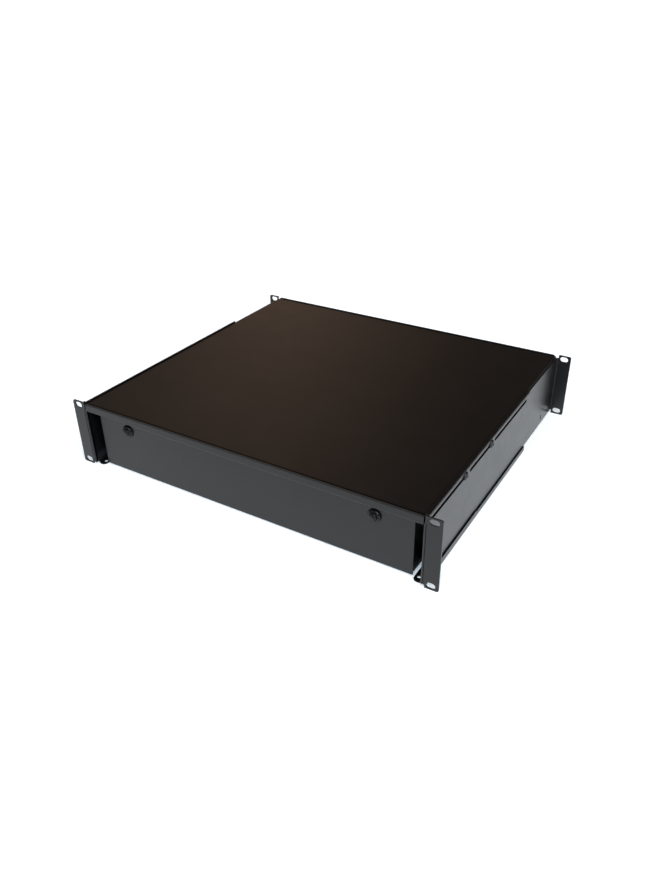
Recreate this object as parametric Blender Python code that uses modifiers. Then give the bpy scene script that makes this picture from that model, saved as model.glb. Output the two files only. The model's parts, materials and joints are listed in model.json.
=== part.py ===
"""Rack-mount fibre termination box: a sliding patch-and-splice drawer in a two-unit steel housing.

The object faces -Y, +X is its right and +Z is up.  Builders work in millimetres with X from the
middle plane, Y from the front face of the front rack ears and Z from the underside.  Objects are
placed in metres about the bottom centre of the whole.
"""

import math

import bmesh
import bpy
from mathutils import Matrix, Vector

MM = 0.001

# Rack standard: two units high, 19 inch ears, held at the front and the rear posts.
EAR_SPAN = 482.6
EAR_HEIGHT = 86.3
EAR_SLOT_SPACING_X = 465.1
EAR_SLOT_SPACING_Z = 76.2
EAR_SLOT_LENGTH = 10.5
EAR_SLOT_WIDTH = 7.0
EAR_EDGE_X = 221.5
EAR_FOOT_Z = 3.4
EAR_STRIP_TOP = 77.3
EAR_SHOULDER_X = 222.9
EAR_CREASE_X = (223.7, 224.6)
EAR_CREASE_DEPTH = 0.9
EAR_TO_EAR = 410.8

# Sheet metal.
SHEET = 1.5
GAP = 0.3
BEND = 1.75
OVERALL_DEPTH = EAR_TO_EAR + SHEET
HOUSING_TOP = 85.0
COVER_FRONT = 3.6
FRONT_RAIL_BOTTOM = 74.3
FRONT_RAIL_HALF = 221.2

# Planes of the nested side plates, each given by the middle of its sheet.
FRONT_WEB_X = 224.75
REAR_WEB_X = FRONT_WEB_X - SHEET - GAP
HOUSING_WALL_X = REAR_WEB_X - SHEET - 0.4

# Front bracket and its depth-adjusting slots.
FRONT_WEB_REAR = 293.5
FRONT_WEB_BOTTOM = 2.6
LIP_TOP = 86.2
LIP_INNER_X = 221.1
LIP_BEND = 2.25
LIP_JOINT_Z = 83.0
DEPTH_SLOT_Z = 78.6
DEPTH_SLOT_WIDTH = 4.6
DEPTH_SLOTS = ((8.0, 96.5), (102.5, 169.5), (174.0, 281.0))
DEPTH_SCREW_Y = (91.5, 164.5)

# Base pan, whose low side flanges lie outside the front brackets.
PAN_SHEET = 1.3
PAN_FLANGE_X = FRONT_WEB_X + SHEET / 2 + GAP + PAN_SHEET / 2
PAN_FLANGE_TOP = 8.0
PAN_FRONT_TOP = 9.3
PAN_STEP_Y = 133.0
PAN_FRONT = 3.0
PAN_REAR = 293.0
LUG_INNER_X = 211.0
LUG_OUTER_X = 222.5
LUG_FRONT = 3.5
LUG_ROOT = 9.5
LUG_CORNER = 4.5
LUG_HOLE_X = 215.6
LUG_HOLE_Y = 10.7
LUG_HOLE_RADIUS = 2.1

# Rear bracket.
REAR_WEB_FRONT = 70.0
REAR_WEB_BOTTOM = 3.4
REAR_WEB_TOP = 83.3

# Drawer and its door.
DRAWER_HALF = 209.0
DRAWER_BOTTOM = 2.0
DRAWER_TOP = 70.0
DRAWER_REAR = 373.2
DRAWER_FLOOR_FRONT = 21.5
REAR_WALL_Y = 372.05
REAR_WALL_TOP = 62.0
DOOR_FACE_Y = 9.0
DOOR_TOP = 73.0
CHEEK_Y = 13.55
PIVOT_Y = 13.5
PIVOT_Z = 7.0
PIVOT_RADIUS = 1.5
TAB_INNER_X = 205.7
LATCH_X = 165.0
LATCH_Z = 59.5
LATCH_SLEEVE_LENGTH = 8.3
LATCH_STEM_RADIUS = 2.2

# Telescopic slides.
SLIDE_Z = 38.0
SLIDE_FRONT = 40.0
SLIDE_REAR = 370.0
SLIDE_SHEET = 1.2

# Patch panel inside the drawer.
PANEL_Y = 62.75
ADAPTER_COLUMNS = 6
ADAPTER_PITCH_X = 55.0
ADAPTER_ROWS_Z = (22.0, 48.0)
ADAPTER_WIDTH = 25.8
ADAPTER_HEIGHT = 9.2
ADAPTER_LENGTH = 29.0

# Fibre handling inside the drawer.
SPOOL_X = 112.0
SPOOL_Y = 140.0
SPLICE_TRAY_WIDTH = 180.0
SPLICE_TRAY_FRONT = 205.0
SPLICE_TRAY_REAR = 325.0
SPLICE_TRAY_HEIGHT = 10.0
CABLE_ENTRY_X = 125.0
CABLE_ENTRY_HALF = 30.0
CABLE_ENTRY_BOTTOM = 30.0

ROUND_STEPS = 24

SIDES = (("left", -1), ("right", 1))


# ---------------------------------------------------------------- scene and materials

def clear_scene():
    for item in list(bpy.data.objects):
        bpy.data.objects.remove(item, do_unlink=True)


def make_collection(name):
    collection = bpy.data.collections.new(name)
    bpy.context.scene.collection.children.link(collection)
    return collection


def make_material(name, colour, roughness, metallic=0.0, alpha=1.0):
    material = bpy.data.materials.new(name)
    material.use_nodes = True
    shader = material.node_tree.nodes["Principled BSDF"]
    shader.inputs["Base Color"].default_value = (*colour, 1.0)
    shader.inputs["Roughness"].default_value = roughness
    shader.inputs["Metallic"].default_value = metallic
    shader.inputs["Alpha"].default_value = alpha
    material.diffuse_color = (*colour, alpha)
    return material


clear_scene()
PARTS = make_collection("fiber_termination_box")
CUTTERS = make_collection("cutters")

POWDER_BLACK = make_material("powder_black", (0.030, 0.029, 0.030), 0.42)
ZINC_STEEL = make_material("zinc_steel", (0.58, 0.58, 0.57), 0.34, 1.0)
SCREW_BLACK = make_material("screw_black", (0.03, 0.03, 0.032), 0.32, 0.6)
KNOB_BLACK = make_material("knob_black", (0.022, 0.024, 0.027), 0.18)
ADAPTER_BLUE = make_material("adapter_blue", (0.02, 0.13, 0.42), 0.4)
TRAY_PLASTIC = make_material("tray_plastic", (0.62, 0.63, 0.62), 0.45)
LID_CLEAR = make_material("lid_clear", (0.75, 0.78, 0.8), 0.12, 0.0, 0.35)
RUBBER_BLACK = make_material("rubber_black", (0.02, 0.02, 0.02), 0.75)
BRASS = make_material("brass", (0.72, 0.52, 0.22), 0.3, 1.0)


# ---------------------------------------------------------------- geometry helpers

def world(point):
    """Millimetres from the front face and middle plane to metres about the bottom centre."""
    x, y, z = point
    return Vector((x, y - OVERALL_DEPTH / 2, z)) * MM


def finish(name, bm, material=None, origin=(0.0, 0.0, 0.0)):
    """Turn a bmesh in millimetres into an object whose origin sits at the given point."""
    bmesh.ops.translate(bm, verts=bm.verts, vec=-Vector(origin))
    bmesh.ops.scale(bm, verts=bm.verts, vec=(MM, MM, MM))
    mesh = bpy.data.meshes.new(name)
    bm.to_mesh(mesh)
    bm.free()
    return add_object(name, mesh, material, origin)


def add_object(name, mesh, material, origin):
    """Link a mesh as a part, or as a hidden cutter when it has no material."""
    item = bpy.data.objects.new(name, mesh)
    item.location = world(origin)
    if material:
        mesh.materials.append(material)
        PARTS.objects.link(item)
    else:
        CUTTERS.objects.link(item)
        item.hide_render = True
        item.display_type = "WIRE"
    return item


def boolean(target, tool, operation):
    modifier = target.modifiers.new(f"{operation.lower()} {tool.name}", "BOOLEAN")
    modifier.operation = operation
    modifier.object = tool
    modifier.solver = "EXACT"


def subtract(target, *tools):
    for tool in tools:
        boolean(target, tool, "DIFFERENCE")


def unite(target, *tools):
    for tool in tools:
        boolean(target, tool, "UNION")


def box(name, low, high, material=None, origin=(0.0, 0.0, 0.0)):
    bm = bmesh.new()
    bmesh.ops.create_cube(bm, size=1.0)
    size = Vector(high) - Vector(low)
    bmesh.ops.scale(bm, verts=bm.verts, vec=size)
    bmesh.ops.translate(bm, verts=bm.verts, vec=Vector(low) + size / 2)
    return finish(name, bm, material, origin)


def rounded_box(name, low, high, radius, axis, material=None, steps=3):
    """Box whose edges parallel to one axis are rounded."""
    bm = bmesh.new()
    bmesh.ops.create_cube(bm, size=1.0)
    size = Vector(high) - Vector(low)
    bmesh.ops.scale(bm, verts=bm.verts, vec=size)
    bmesh.ops.translate(bm, verts=bm.verts, vec=Vector(low) + size / 2)
    index = "XYZ".index(axis)
    edges = [e for e in bm.edges if abs((e.verts[0].co - e.verts[1].co)[index]) > 0.5 * size[index]]
    bmesh.ops.bevel(bm, geom=edges, offset=radius, segments=steps, profile=0.5, affect="EDGES")
    return finish(name, bm, material)


def turn_to_axis(bm, axis):
    """Turn a shape built along Z so that it lies along another axis."""
    about = {"X": "Y", "Y": "X", "Z": None}[axis]
    if about:
        bmesh.ops.transform(bm, verts=bm.verts, matrix=Matrix.Rotation(math.pi / 2, 4, about))


def cylinder(name, centre, radius, depth, axis, material=None, steps=ROUND_STEPS):
    bm = bmesh.new()
    bmesh.ops.create_cone(bm, cap_ends=True, segments=steps, radius1=radius, radius2=radius, depth=depth)
    turn_to_axis(bm, axis)
    bmesh.ops.translate(bm, verts=bm.verts, vec=Vector(centre))
    return finish(name, bm, material)


def obround(name, centre, length, width, depth, along, axis, steps=16):
    """Prism of a slot's outline: a cylinder whose two halves are moved apart."""
    bm = bmesh.new()
    half_step = Matrix.Rotation(math.pi / steps, 4, "Z")
    radius = width / 2
    bmesh.ops.create_cone(
        bm, cap_ends=True, segments=steps, radius1=radius, radius2=radius, depth=depth, matrix=half_step
    )
    turn_to_axis(bm, axis)
    index = "XYZ".index(along)
    for vert in bm.verts:
        vert.co[index] += math.copysign((length - width) / 2, vert.co[index])
    bmesh.ops.translate(bm, verts=bm.verts, vec=Vector(centre))
    return finish(name, bm)


def rounded_route(points, radius, steps=4):
    """Route through 2D points in which each inner corner is an arc."""
    corners = [Vector(p) for p in points]
    route = [corners[0]]
    for before, corner, after in zip(corners, corners[1:], corners[2:]):
        inward = (before - corner).normalized()
        outward = (after - corner).normalized()
        half_angle = inward.angle(outward) / 2
        centre = corner + (inward + outward).normalized() * radius / math.sin(half_angle)
        start = corner + inward * radius / math.tan(half_angle) - centre
        sweep = math.pi - 2 * half_angle
        if inward.x * outward.y - inward.y * outward.x > 0:
            sweep = -sweep
        for i in range(steps + 1):
            turn = Matrix.Rotation(sweep * i / steps, 2)
            route.append(centre + turn @ start)
    route.append(corners[-1])
    return route


def on_plane(axis, u, v, w):
    """Point at (u, v) in the plane across an axis and w along it."""
    return {"X": (w, u, v), "Y": (u, w, v), "Z": (u, v, w)}[axis]


def folded_sheet(name, points, axis, start, end, material=None, thickness=SHEET, bend=BEND,
                 origin=(0.0, 0.0, 0.0)):
    """Bent sheet: a route of its middle line drawn out along an axis, then given its thickness."""
    bm = bmesh.new()
    verts = [bm.verts.new(on_plane(axis, p.x, p.y, start)) for p in rounded_route(points, bend)]
    edges = [bm.edges.new(pair) for pair in zip(verts, verts[1:])]
    drawn = bmesh.ops.extrude_edge_only(bm, edges=edges)["geom"]
    moved = [item for item in drawn if isinstance(item, bmesh.types.BMVert)]
    bmesh.ops.translate(bm, verts=moved, vec=on_plane(axis, 0.0, 0.0, end - start))
    sheet = finish(name, bm, material, origin)
    shell = sheet.modifiers.new("sheet", "SOLIDIFY")
    shell.thickness = thickness * MM
    shell.offset = 0.0
    shell.use_even_offset = True
    return sheet


def turned(name, profile, material, origin, direction, steps=ROUND_STEPS):
    """Solid of revolution from (radius, height) points, its height along a direction."""
    bm = bmesh.new()
    verts = [bm.verts.new((radius, 0.0, height)) for radius, height in profile]
    for pair in zip(verts, verts[1:]):
        bm.edges.new(pair)
    if profile[0][0] > 0.0:
        bm.edges.new((verts[-1], verts[0]))
    bmesh.ops.scale(bm, verts=bm.verts, vec=(MM, MM, MM))
    mesh = bpy.data.meshes.new(name)
    bm.to_mesh(mesh)
    bm.free()
    item = add_object(name, mesh, material, origin)
    item.rotation_euler = Vector(direction).to_track_quat("Z", "Y").to_euler()
    screw = item.modifiers.new("turned", "SCREW")
    screw.steps = steps
    screw.render_steps = steps
    screw.use_merge_vertices = True
    screw.merge_threshold = 0.00001
    return item


# ---------------------------------------------------------------- housing

def build_housing_cover():
    """Top plate and two side walls folded from one sheet, with short hems turned in below."""
    top = HOUSING_TOP - SHEET / 2
    hem_z = 2.55
    hem_x = 216.0
    route = [
        (hem_x, hem_z), (HOUSING_WALL_X, hem_z), (HOUSING_WALL_X, top),
        (-HOUSING_WALL_X, top), (-HOUSING_WALL_X, hem_z), (-hem_x, hem_z),
    ]
    cover = folded_sheet("housing_cover", route, "Y", COVER_FRONT, EAR_TO_EAR - 0.5, POWDER_BLACK)
    for side, sign in SIDES:
        hem_width = (hem_x - 2, HOUSING_WALL_X - SHEET)
        subtract(cover, side_box(f"hem_front_cut_{side}", sign, hem_width, (-1, 18), (-1, hem_z + 2)))


def build_cross_rails():
    """Band across the front, above the door, with a tongue under the cover, and a lip across the back."""
    lip_half = HOUSING_WALL_X - SHEET / 2 - 0.4
    middle = SHEET / 2
    low = FRONT_RAIL_BOTTOM + middle
    high = HOUSING_TOP - middle
    bend = 1.25
    front = [(6.0, low), (middle, low), (middle, high), (middle + bend + 0.05, high)]
    rail = folded_sheet("front_rail", front, "X", -FRONT_RAIL_HALF, FRONT_RAIL_HALF, POWDER_BLACK, bend=bend)
    tongue_top = HOUSING_TOP - SHEET - GAP
    tongue_half = lip_half - 0.9
    tongue = ((-tongue_half, 1.0, tongue_top - SHEET), (tongue_half, 14.0, tongue_top))
    unite(rail, box("rail_tongue", *tongue))
    for side, sign in SIDES:
        ends = sorted((sign * lip_half, sign * 230))
        subtract(rail, box(f"rail_end_cut_{side}", (ends[0], SHEET + 0.2, 70), (ends[1], 20, 82)))
    back_y = EAR_TO_EAR - 1.5
    back = [(back_y - 12, 82.45), (back_y, 82.45), (back_y, 70.0)]
    folded_sheet("rear_rail", back, "X", -lip_half, lip_half, POWDER_BLACK)


def build_base_pan():
    """Bottom plate with low side flanges, set back to clear the door, and a drilled lug at each corner."""
    plate_z = PAN_SHEET / 2
    route = [
        (PAN_FLANGE_X, PAN_FRONT_TOP), (PAN_FLANGE_X, plate_z),
        (-PAN_FLANGE_X, plate_z), (-PAN_FLANGE_X, PAN_FRONT_TOP),
    ]
    pan = folded_sheet("base_pan", route, "Y", PAN_FRONT, PAN_REAR, POWDER_BLACK, PAN_SHEET)
    clearance_rear = 40.0
    low = (-LUG_INNER_X, PAN_FRONT - 4, -1)
    subtract(pan, rounded_box("door_clearance", low, (LUG_INNER_X, clearance_rear, 5), 3.0, "Z"))
    for side, sign in SIDES:
        x = (PAN_FLANGE_X - 3, PAN_FLANGE_X + 3)
        y = (PAN_STEP_Y, PAN_REAR + 1)
        subtract(pan, side_box(f"flange_step_{side}", sign, x, y, (PAN_FLANGE_TOP, 20)))
        slot = (sign * 190.0, 150.0, plate_z)
        subtract(pan, obround(f"pan_slot_{side}", slot, 30.0, 6.0, 6.0, "Y", "Z"))
        inside_flange = PAN_FLANGE_X - PAN_SHEET - 0.5
        subtract(pan, side_box(f"corner_{side}", sign, (205.0, inside_flange), (0, LUG_ROOT), (-1, 5)))
        ends = sorted((sign * LUG_INNER_X, sign * LUG_OUTER_X))
        low = (ends[0], LUG_FRONT, 0)
        high = (ends[1], LUG_ROOT + 6, PAN_SHEET)
        unite(pan, rounded_box(f"lug_{side}", low, high, LUG_CORNER, "Z"))
        hole = (sign * LUG_HOLE_X, LUG_HOLE_Y, plate_z)
        subtract(pan, cylinder(f"lug_hole_{side}", hole, LUG_HOLE_RADIUS, 6.0, "Z", steps=16))


def cut_ear(bracket, label, sign, y_middle):
    """Cut the two rack slots of one ear and round its outer corners."""
    half_x = EAR_SLOT_SPACING_X / 2
    for level, offset in (("low", -1), ("high", 1)):
        centre = (sign * half_x, y_middle, EAR_HEIGHT / 2 + offset * EAR_SLOT_SPACING_Z / 2)
        name = f"ear_slot_{label}_{level}"
        subtract(bracket, obround(name, centre, EAR_SLOT_LENGTH, EAR_SLOT_WIDTH, 8.0, "X", "Y"))


def ear_outline(label, sign):
    """Block that trims a bracket to the ear's width and height, with rounded outer corners."""
    x = sorted((sign * 190.0, sign * EAR_SPAN / 2))
    low = (x[0], -20.0, 0.0)
    high = (x[1], OVERALL_DEPTH + 20.0, EAR_HEIGHT)
    return rounded_box(f"outline_{label}", low, high, 2.5, "Y")


def side_box(name, sign, x_range, y_range, z_range):
    """Cutter between two distances from the middle plane, on one side."""
    x = sorted(sign * value for value in x_range)
    return box(name, (x[0], y_range[0], z_range[0]), (x[1], y_range[1], z_range[1]))


def round_ear_edge(strip):
    """Round the upright edge nearest the door."""
    bm = bmesh.new()
    bm.from_mesh(strip.data)
    inner = [v for v in bm.verts if abs(v.co.x) < (EAR_EDGE_X + 1) * MM and v.co.y < SHEET / 2 * MM]
    edge = [e for e in bm.edges if e.verts[0] in inner and e.verts[1] in inner]
    bmesh.ops.bevel(bm, geom=edge, offset=1.1 * MM, segments=4, profile=0.5, affect="EDGES")
    bm.to_mesh(strip.data)
    bm.free()


def build_front_bracket(side, sign):
    """Ear and side web with depth slots and a rounded lip over the housing's shoulder."""
    label = f"front_{side}"
    beyond_ear = EAR_SPAN / 2 + 1.0
    corner = (sign * FRONT_WEB_X, SHEET / 2)
    route = [(sign * beyond_ear, SHEET / 2), corner, (sign * FRONT_WEB_X, FRONT_WEB_REAR)]
    bracket = folded_sheet(f"bracket_{label}", route, "Z", -1.0, EAR_HEIGHT + 1.0, POWDER_BLACK)
    boolean(bracket, ear_outline(label, sign), "INTERSECT")

    ear_face = (0.0, SHEET)
    strip = side_box(f"ear_edge_{label}", sign, (EAR_EDGE_X, 228.0), ear_face, (EAR_FOOT_Z, EAR_STRIP_TOP))
    round_ear_edge(strip)
    shoulder_z = (EAR_STRIP_TOP - 0.5, EAR_HEIGHT)
    shoulder = side_box(f"ear_shoulder_{label}", sign, (EAR_SHOULDER_X, 228.0), ear_face, shoulder_z)
    unite(bracket, strip, shoulder)

    crease_z = (EAR_FOOT_Z - 1, EAR_STRIP_TOP)
    subtract(bracket, side_box(f"ear_crease_{label}", sign, EAR_CREASE_X, (-1, EAR_CREASE_DEPTH), crease_z))

    web_x = (FRONT_WEB_X - 5, FRONT_WEB_X + 5)
    behind_bend = 3.6
    far = FRONT_WEB_REAR + 1
    subtract(
        bracket,
        side_box(f"web_top_{label}", sign, web_x, (behind_bend, far), (LIP_JOINT_Z, 90)),
        side_box(f"web_foot_{label}", sign, web_x, (behind_bend - 1.2, far), (-1, FRONT_WEB_BOTTOM)),
        side_box(f"bend_relief_foot_{label}", sign, (220.5, 226.0), (-1, behind_bend), (-1, EAR_FOOT_Z)),
    )
    lip_z = LIP_TOP - SHEET / 2
    lip_root = LIP_JOINT_Z - 1.5
    lip_route = [(sign * FRONT_WEB_X, lip_root), (sign * FRONT_WEB_X, lip_z), (sign * LIP_INNER_X, lip_z)]
    lip_front = behind_bend - 0.6
    lip = folded_sheet(f"web_lip_{label}", lip_route, "Y", lip_front, FRONT_WEB_REAR, bend=LIP_BEND)
    unite(bracket, lip)
    cut_ear(bracket, label, sign, SHEET / 2)
    for number, (start, end) in enumerate(DEPTH_SLOTS):
        centre = (sign * FRONT_WEB_X, (start + end) / 2, DEPTH_SLOT_Z)
        name = f"depth_slot_{label}_{number}"
        subtract(bracket, obround(name, centre, end - start, DEPTH_SLOT_WIDTH, 8.0, "Y", "X"))


def build_rear_bracket(side, sign):
    """Plate that telescopes behind the front web and carries the rear ear."""
    label = f"rear_{side}"
    beyond_ear = EAR_SPAN / 2 + 1.0
    ear_y = EAR_TO_EAR + SHEET / 2
    route = [(sign * REAR_WEB_X, REAR_WEB_FRONT), (sign * REAR_WEB_X, ear_y), (sign * beyond_ear, ear_y)]
    bracket = folded_sheet(f"bracket_{label}", route, "Z", -1.0, EAR_HEIGHT + 1.0, POWDER_BLACK)
    boolean(bracket, ear_outline(label, sign), "INTERSECT")

    web_x = (REAR_WEB_X - 5, REAR_WEB_X + 5)
    bend_front = EAR_TO_EAR - 2.2
    front = REAR_WEB_FRONT - 1
    subtract(
        bracket,
        side_box(f"web_top_{label}", sign, web_x, (front, bend_front), (REAR_WEB_TOP, 90)),
        side_box(f"web_foot_{label}", sign, web_x, (front, bend_front), (-1, REAR_WEB_BOTTOM)),
        side_box(f"bend_relief_top_{label}", sign, (220, 225.2), (bend_front - 1, 415), (82.0, 90)),
        side_box(f"bend_relief_foot_{label}", sign, (220, 225.2), (bend_front - 1, 415), (-1, 4.6)),
    )
    for number, y in enumerate(DEPTH_SCREW_Y):
        centre = (sign * REAR_WEB_X, y, DEPTH_SLOT_Z)
        subtract(bracket, cylinder(f"tapped_hole_{label}_{number}", centre, 2.35, 8.0, "X"))
    cut_ear(bracket, label, sign, ear_y)
    keyhole = (sign * REAR_WEB_X, 366.0, 13.5)
    subtract(bracket, obround(f"lance_{label}", keyhole, 7.0, 3.2, 8.0, "Z", "X"))


def build_depth_screws(side, sign):
    """Pan-head screws that clamp the rear bracket through the front bracket's slots."""
    web_face = FRONT_WEB_X + SHEET / 2
    head = web_face + GAP
    tip = REAR_WEB_X - SHEET / 2
    for number, y in enumerate(DEPTH_SCREW_Y, start=1):
        profile = [
            (0.0, 2.2), (2.6, 2.1), (3.8, 1.7), (4.5, 0.9), (4.7, 0.0),
            (2.0, 0.0), (2.0, tip - head), (0.0, tip - head),
        ]
        origin = (sign * head, y, DEPTH_SLOT_Z)
        screw = turned(f"depth_screw_{side}_{number}", profile, SCREW_BLACK, origin, (sign, 0, 0))
        drive = (sign * (head + 2.2), y, DEPTH_SLOT_Z)
        for axis, size in (("y", (2.2, 4.4, 1.0)), ("z", (2.2, 1.0, 4.4))):
            low = Vector(drive) - Vector(size) / 2
            high = Vector(drive) + Vector(size) / 2
            subtract(screw, box(f"drive_{side}_{number}_{axis}", low, high))


# ---------------------------------------------------------------- telescopic slides

def build_slides(side, sign):
    """Outer member on the housing, middle member, and inner member on the drawer."""
    members = (
        ("outer", 219.4, 212.5, 16.9),
        ("middle", 217.2, 211.6, 14.4),
        ("inner", 209.9, 215.6, 11.9),
    )
    for member, web_x, lip_x, half in members:
        route = [
            (sign * lip_x, SLIDE_Z + half), (sign * web_x, SLIDE_Z + half),
            (sign * web_x, SLIDE_Z - half), (sign * lip_x, SLIDE_Z - half),
        ]
        name = f"slide_{member}_{side}"
        folded_sheet(name, route, "Y", SLIDE_FRONT, SLIDE_REAR, ZINC_STEEL, SLIDE_SHEET, bend=1.2)


# ---------------------------------------------------------------- drawer

def build_drawer_tray():
    """Floor and side walls from one sheet, a rear wall and two front cheeks."""
    wall = DRAWER_HALF - SHEET / 2
    floor = DRAWER_BOTTOM + SHEET / 2
    route = [(wall, DRAWER_TOP), (wall, floor), (-wall, floor), (-wall, DRAWER_TOP)]
    tray = folded_sheet("drawer_tray", route, "Y", 11.0, DRAWER_REAR, POWDER_BLACK)
    rear_low = (-wall, REAR_WALL_Y - SHEET / 2, floor)
    rear_high = (wall, REAR_WALL_Y + SHEET / 2, REAR_WALL_TOP)
    unite(tray, box("rear_wall", rear_low, rear_high))
    for side, sign in SIDES:
        x = (155.0, wall)
        y = (CHEEK_Y - SHEET / 2, CHEEK_Y + SHEET / 2)
        unite(tray, side_box(f"cheek_{side}", sign, x, y, (16.0, DRAWER_TOP - 0.4)))
    subtract(tray, box("floor_front_cut", (-220, 0, -1), (220, DRAWER_FLOOR_FRONT, 4.6)))
    for side, sign in SIDES:
        latch = (sign * LATCH_X, CHEEK_Y, LATCH_Z)
        pivot = (sign * wall, PIVOT_Y, PIVOT_Z)
        subtract(tray, cylinder(f"strike_hole_{side}", latch, 4.4, 6.0, "Y"))
        subtract(tray, cylinder(f"pivot_hole_{side}", pivot, PIVOT_RADIUS + 0.33, 4.0, "X"))
        corner = (sign * wall, PIVOT_Y - 3.45, PIVOT_Z - 3.45)
        subtract(tray, cylinder(f"swing_corner_{side}", corner, 3.0, 4.0, "X", steps=4))
        centre_x = sign * CABLE_ENTRY_X
        low = (centre_x - CABLE_ENTRY_HALF, REAR_WALL_Y - 5, CABLE_ENTRY_BOTTOM)
        high = (centre_x + CABLE_ENTRY_HALF, REAR_WALL_Y + 5, 90.0)
        subtract(tray, rounded_box(f"cable_entry_{side}", low, high, 6.0, "Y"))


def entry_route(centre_x, outward):
    """U-shaped route around a cable entry, moved outward from its edge."""
    half = CABLE_ENTRY_HALF + outward
    bottom = CABLE_ENTRY_BOTTOM - outward
    return [
        (centre_x - half, REAR_WALL_TOP), (centre_x - half, bottom),
        (centre_x + half, bottom), (centre_x + half, REAR_WALL_TOP),
    ]


def build_cable_trims():
    """Rubber edging with a groove that grips the rim of each cable entry."""
    lip = 4.2
    groove_depth = 12.0
    for side, sign in SIDES:
        centre_x = sign * CABLE_ENTRY_X
        front = REAR_WALL_Y - 2.4
        trim = folded_sheet(
            f"cable_trim_{side}", entry_route(centre_x, 0.5), "Y", front, front + 4.8,
            RUBBER_BLACK, thickness=lip, bend=6.5,
        )
        groove_start = REAR_WALL_Y - SHEET / 2 - GAP
        outward = groove_depth / 2 - GAP
        groove = folded_sheet(
            f"trim_groove_{side}", entry_route(centre_x, outward), "Y",
            groove_start, groove_start + SHEET + 2 * GAP, thickness=groove_depth, bend=6.0 + outward,
        )
        overrun = 1.0
        for vert in groove.data.vertices:
            if vert.co.z > (REAR_WALL_TOP - 0.01) * MM:
                vert.co.z += overrun * MM
        subtract(trim, groove)


def build_adapter_panel():
    """Upright plate with a foot and one window for each adapter."""
    foot_z = DRAWER_BOTTOM + SHEET + GAP + SHEET / 2
    route = [(PANEL_Y + 14.0, foot_z), (PANEL_Y, foot_z), (PANEL_Y, 66.0)]
    panel = folded_sheet("adapter_panel", route, "X", -185.0, 185.0, POWDER_BLACK)
    for number, (x, z) in enumerate(adapter_places(), start=1):
        half_x = ADAPTER_WIDTH / 2 + GAP
        half_z = ADAPTER_HEIGHT / 2 + GAP
        low = (x - half_x, PANEL_Y - 5, z - half_z)
        high = (x + half_x, PANEL_Y + 5, z + half_z)
        subtract(panel, box(f"adapter_window_{number:02d}", low, high))


def adapter_places():
    """Middle of each adapter, left to right in each row from the bottom up."""
    first = -ADAPTER_PITCH_X * (ADAPTER_COLUMNS - 1) / 2
    for z in ADAPTER_ROWS_Z:
        for column in range(ADAPTER_COLUMNS):
            yield first + column * ADAPTER_PITCH_X, z


def build_adapters():
    """Duplex couplers: a body through the panel and a flange against its front."""
    flange_half = 17.4
    flange_back = PANEL_Y - SHEET / 2 - GAP
    for number, (x, z) in enumerate(adapter_places(), start=1):
        half_x = ADAPTER_WIDTH / 2
        half_z = ADAPTER_HEIGHT / 2
        low = (x - half_x, PANEL_Y - ADAPTER_LENGTH / 2, z - half_z)
        high = (x + half_x, PANEL_Y + ADAPTER_LENGTH / 2, z + half_z)
        name = f"adapter_{number:02d}"
        adapter = rounded_box(name, low, high, 0.8, "Y", ADAPTER_BLUE, steps=2)
        flange_low = (x - flange_half, flange_back - 2.0, z - half_z - 0.4)
        flange_high = (x + flange_half, flange_back, z + half_z + 0.4)
        unite(adapter, rounded_box(f"{name}_flange", flange_low, flange_high, 1.0, "Y", steps=2))


def build_spools():
    """Flanged reels that keep the fibre's bend radius."""
    base = DRAWER_BOTTOM + SHEET + GAP
    height = 28.0
    rim = 2.0
    profile = [
        (27.0, height), (37.0, height), (37.0, height - rim), (30.0, height - rim),
        (30.0, rim), (37.0, rim), (37.0, 0.0), (27.0, 0.0),
    ]
    for side, sign in SIDES:
        origin = (sign * SPOOL_X, SPOOL_Y, base)
        turned(f"fiber_spool_{side}", profile, TRAY_PLASTIC, origin, (0, 0, 1), steps=32)


def build_splice_trays():
    """Two stacked open trays, each with a comb of splice holders, and a clear lid on top."""
    half = SPLICE_TRAY_WIDTH / 2
    base = DRAWER_BOTTOM + SHEET + GAP
    wall = 1.6
    for number, level in enumerate(("lower", "upper")):
        z = base + number * (SPLICE_TRAY_HEIGHT + GAP)
        low = (-half, SPLICE_TRAY_FRONT, z)
        high = (half, SPLICE_TRAY_REAR, z + SPLICE_TRAY_HEIGHT)
        tray = rounded_box(f"splice_tray_{level}", low, high, 8.0, "Z", TRAY_PLASTIC, steps=4)
        hollow_low = Vector(low) + Vector((wall, wall, wall))
        hollow_high = Vector(high) + Vector((-wall, -wall, wall))
        subtract(tray, rounded_box(f"tray_hollow_{level}", hollow_low, hollow_high, 6.4, "Z", steps=4))
        build_splice_comb(level, z + wall + GAP)
    lid_z = base + 2 * (SPLICE_TRAY_HEIGHT + GAP)
    lid_low = (-half, SPLICE_TRAY_FRONT, lid_z)
    lid_high = (half, SPLICE_TRAY_REAR, lid_z + wall)
    rounded_box("splice_tray_lid", lid_low, lid_high, 8.0, "Z", LID_CLEAR, steps=4)


def build_splice_comb(level, z):
    """Block of upright fins that hold splice sleeves side by side."""
    half = 32.0
    front = SPLICE_TRAY_REAR - 34.0
    back = SPLICE_TRAY_REAR - 6.0
    comb = box(f"splice_comb_{level}", (-half, front, z), (half, back, z + 6.0), ADAPTER_BLUE)
    pitch = 5.0
    grooves = int(2 * half / pitch)
    for number in range(grooves):
        x = (number - (grooves - 1) / 2) * pitch
        low = (x - 1.6, front - 1, z + 1.4)
        subtract(comb, box(f"comb_groove_{level}_{number}", low, (x + 1.6, back + 1, z + 8.0)))


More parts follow.
